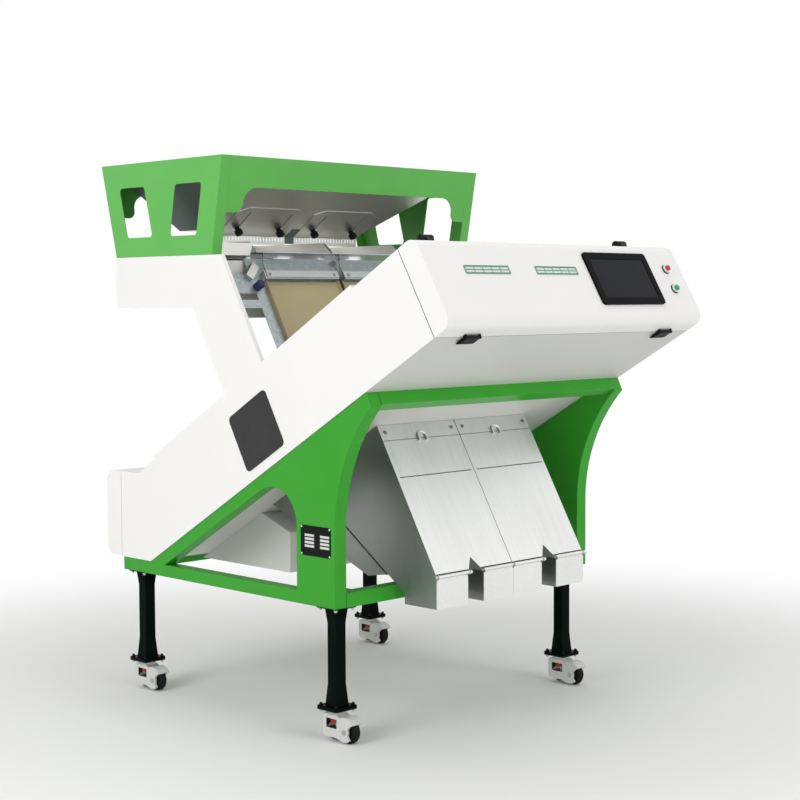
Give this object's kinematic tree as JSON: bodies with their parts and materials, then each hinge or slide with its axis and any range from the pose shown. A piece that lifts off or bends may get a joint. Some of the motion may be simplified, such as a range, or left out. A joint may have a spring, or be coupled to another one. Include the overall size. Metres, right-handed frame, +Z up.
{
  "type": "optical colour sorter",
  "caption": "Chute-type optical food sorter: sloping white box and neck on a green frame, flared feed hopper, twin chutes, stainless discharge hoppers, levelling casters.",
  "frame": {"origin": "on the floor, midway between the outermost edges in X and Y", "axes": "+Z up, -Y towards the discharge side with the screen, X across the chutes"},
  "size_m": [1.2046, 1.6653, 1.8185],
  "materials": {
    "white_paint": "smooth satin powder coat",
    "green_paint": "satin powder coat",
    "grey_paint": "satin powder coat",
    "leg_paint": "satin powder coat",
    "stainless": "brushed",
    "galvanised": "matt zinc",
    "black_plastic": "matt",
    "screen": "dark glossy",
    "tinted_pane": "dark tinted",
    "clear_plastic": "clear",
    "status_plastic": "pale translucent",
    "chute_enamel": "satin coating",
    "caster_cream": "cast, painted",
    "tyre": "matt",
    "dial_red": "satin",
    "button_red": "glossy",
    "button_green": "glossy",
    "collar_metal": "polished",
    "drive_grey": "hammered",
    "optic_grey": "matt",
    "manifold": "anodised",
    "buffer_blue": "matt",
    "caster_steel": "blackened"
  },
  "bodies": {
    "machine": {"frame_left": "green_paint", "frame_right": "green_paint", "cross_beams": "green_paint", "legs": "leg_paint", "caster_plates": "caster_steel", "side_panel_left": "white_paint", "side_panel_right": "white_paint", "side_windows": "tinted_pane", "box_top_cover": "white_paint", "box_underside": "grey_paint", "head_shell": "white_paint", "rear_cover": "white_paint", "hinge_bases": "black_plastic", "hopper_sides": "green_paint", "hopper_ends": "green_paint", "feed_funnel": "stainless", "feeder_drives": "drive_grey", "chutes": "chute_enamel", "chute_frame": "galvanised", "chute_covers": "clear_plastic", "chute_buffers": "buffer_blue", "optic_units": "optic_grey", "ejector_bar": "manifold", "discharge_hoppers": "stainless", "reject_hopper": "stainless", "air_housing": "grey_paint"},
    "door": {"front_door": "white_paint", "hinge_arms": "black_plastic", "screen_bezel": "black_plastic", "screen_glass": "screen", "status_windows": "status_plastic", "button_collars": "collar_metal"},
    "latch_left": {"latch_left": "black_plastic"},
    "latch_right": {"latch_right": "black_plastic"},
    "stop": {"stop_button": "button_red"},
    "start": {"start_button": "button_green"},
    "gate_left": {"gate_left": "stainless"},
    "gate_right": {"gate_right": "stainless"},
    "tray_left": {"feeder_tray_left": "stainless"},
    "tray_right": {"feeder_tray_right": "stainless"},
    "knob_1": {"gate_knob_1": "black_plastic"},
    "flap_1": {"outlet_flap_1": "stainless"},
    "caster_1": {"caster_body_1": "caster_cream"},
    "wheel_1": {"caster_wheel_1": "tyre"},
    "foot_1": {"caster_foot_1": "dial_red"},
    "knob_2": {"gate_knob_2": "black_plastic"},
    "flap_2": {"outlet_flap_2": "stainless"},
    "caster_2": {"caster_body_2": "caster_cream"},
    "wheel_2": {"caster_wheel_2": "tyre"},
    "foot_2": {"caster_foot_2": "dial_red"},
    "knob_3": {"gate_knob_3": "black_plastic"},
    "flap_3": {"outlet_flap_3": "stainless"},
    "caster_3": {"caster_body_3": "caster_cream"},
    "wheel_3": {"caster_wheel_3": "tyre"},
    "foot_3": {"caster_foot_3": "dial_red"},
    "knob_4": {"gate_knob_4": "black_plastic"},
    "flap_4": {"outlet_flap_4": "stainless"},
    "caster_4": {"caster_body_4": "caster_cream"},
    "wheel_4": {"caster_wheel_4": "tyre"},
    "foot_4": {"caster_foot_4": "dial_red"}
  },
  "joints": [
    {"name": "door_hinge", "type": "hinge", "parent": "machine", "child": "door", "pos_m": [0, -0.60798, 1.53002], "axis": [-1, 0, 0], "range_deg": [0, 75]},
    {"name": "latch_left_pivot", "type": "hinge", "parent": "door", "child": "latch_left", "pos_m": [-0.458, -0.7953, 1.24557], "axis": [-1, 0, 0], "range_deg": [0, 70]},
    {"name": "latch_right_pivot", "type": "hinge", "parent": "door", "child": "latch_right", "pos_m": [0.458, -0.7953, 1.24557], "axis": [-1, 0, 0], "range_deg": [0, 70]},
    {"name": "stop_press", "type": "slide", "parent": "door", "child": "stop", "axis": [0, 0.866, -0.5], "range_m": [0, 0.004], "stiffness_N_per_m": 900, "springref_m": -0.002},
    {"name": "start_press", "type": "slide", "parent": "door", "child": "start", "axis": [0, 0.866, -0.5], "range_m": [0, 0.004], "stiffness_N_per_m": 900, "springref_m": -0.002},
    {"name": "gate_left_slide", "type": "slide", "parent": "machine", "child": "gate_left", "axis": [0, 0.832, -0.5548], "range_m": [0, 0.04]},
    {"name": "gate_right_slide", "type": "slide", "parent": "machine", "child": "gate_right", "axis": [0, 0.832, -0.5548], "range_m": [0, 0.04]},
    {"name": "knob_1_turn", "type": "hinge", "parent": "machine", "child": "knob_1", "pos_m": [-0.27, 0.49744, 1.60496], "axis": [0, 0.5548, 0.832], "continuous": true},
    {"name": "knob_2_turn", "type": "hinge", "parent": "machine", "child": "knob_2", "pos_m": [-0.082, 0.49744, 1.60496], "axis": [0, 0.5548, 0.832], "continuous": true},
    {"name": "knob_3_turn", "type": "hinge", "parent": "machine", "child": "knob_3", "pos_m": [0.082, 0.49744, 1.60496], "axis": [0, 0.5548, 0.832], "continuous": true},
    {"name": "knob_4_turn", "type": "hinge", "parent": "machine", "child": "knob_4", "pos_m": [0.27, 0.49744, 1.60496], "axis": [0, 0.5548, 0.832], "continuous": true},
    {"name": "tray_left_shake", "type": "slide", "parent": "machine", "child": "tray_left", "axis": [0, -0.9397, 0.342], "range_m": [-0.0015, 0.0015], "stiffness_N_per_m": 60000},
    {"name": "tray_right_shake", "type": "slide", "parent": "machine", "child": "tray_right", "axis": [0, -0.9397, 0.342], "range_m": [-0.0015, 0.0015], "stiffness_N_per_m": 60000},
    {"name": "flap_1_swing", "type": "hinge", "parent": "machine", "child": "flap_1", "pos_m": [-0.2805, -0.54531, 0.51003], "axis": [-1, 0, 0], "range_deg": [0, 70]},
    {"name": "flap_2_swing", "type": "hinge", "parent": "machine", "child": "flap_2", "pos_m": [-0.0695, -0.54531, 0.51003], "axis": [-1, 0, 0], "range_deg": [0, 70]},
    {"name": "flap_3_swing", "type": "hinge", "parent": "machine", "child": "flap_3", "pos_m": [0.0695, -0.54531, 0.51003], "axis": [-1, 0, 0], "range_deg": [0, 70]},
    {"name": "flap_4_swing", "type": "hinge", "parent": "machine", "child": "flap_4", "pos_m": [0.2805, -0.54531, 0.51003], "axis": [-1, 0, 0], "range_deg": [0, 70]},
    {"name": "caster_1_swivel", "type": "hinge", "parent": "machine", "child": "caster_1", "pos_m": [-0.537, -0.29731, 0.091], "axis": [0, 0, 1], "continuous": true},
    {"name": "wheel_1_roll", "type": "hinge", "parent": "caster_1", "child": "wheel_1", "pos_m": [-0.537, -0.35431, 0.037], "axis": [1, 0, 0], "continuous": true},
    {"name": "foot_1_screw", "type": "slide", "parent": "caster_1", "child": "foot_1", "axis": [0, 0, -1], "range_m": [0, 0.012]},
    {"name": "caster_2_swivel", "type": "hinge", "parent": "machine", "child": "caster_2", "pos_m": [0.537, -0.29731, 0.091], "axis": [0, 0, 1], "continuous": true},
    {"name": "wheel_2_roll", "type": "hinge", "parent": "caster_2", "child": "wheel_2", "pos_m": [0.537, -0.35431, 0.037], "axis": [1, 0, 0], "continuous": true},
    {"name": "foot_2_screw", "type": "slide", "parent": "caster_2", "child": "foot_2", "axis": [0, 0, -1], "range_m": [0, 0.012]},
    {"name": "caster_3_swivel", "type": "hinge", "parent": "machine", "child": "caster_3", "pos_m": [-0.537, 0.68469, 0.091], "axis": [0, 0, 1], "continuous": true},
    {"name": "wheel_3_roll", "type": "hinge", "parent": "caster_3", "child": "wheel_3", "pos_m": [-0.537, 0.62769, 0.037], "axis": [1, 0, 0], "continuous": true},
    {"name": "foot_3_screw", "type": "slide", "parent": "caster_3", "child": "foot_3", "axis": [0, 0, -1], "range_m": [0, 0.012]},
    {"name": "caster_4_swivel", "type": "hinge", "parent": "machine", "child": "caster_4", "pos_m": [0.537, 0.68469, 0.091], "axis": [0, 0, 1], "continuous": true},
    {"name": "wheel_4_roll", "type": "hinge", "parent": "caster_4", "child": "wheel_4", "pos_m": [0.537, 0.62769, 0.037], "axis": [1, 0, 0], "continuous": true},
    {"name": "foot_4_screw", "type": "slide", "parent": "caster_4", "child": "foot_4", "axis": [0, 0, -1], "range_m": [0, 0.012]}
  ]
}
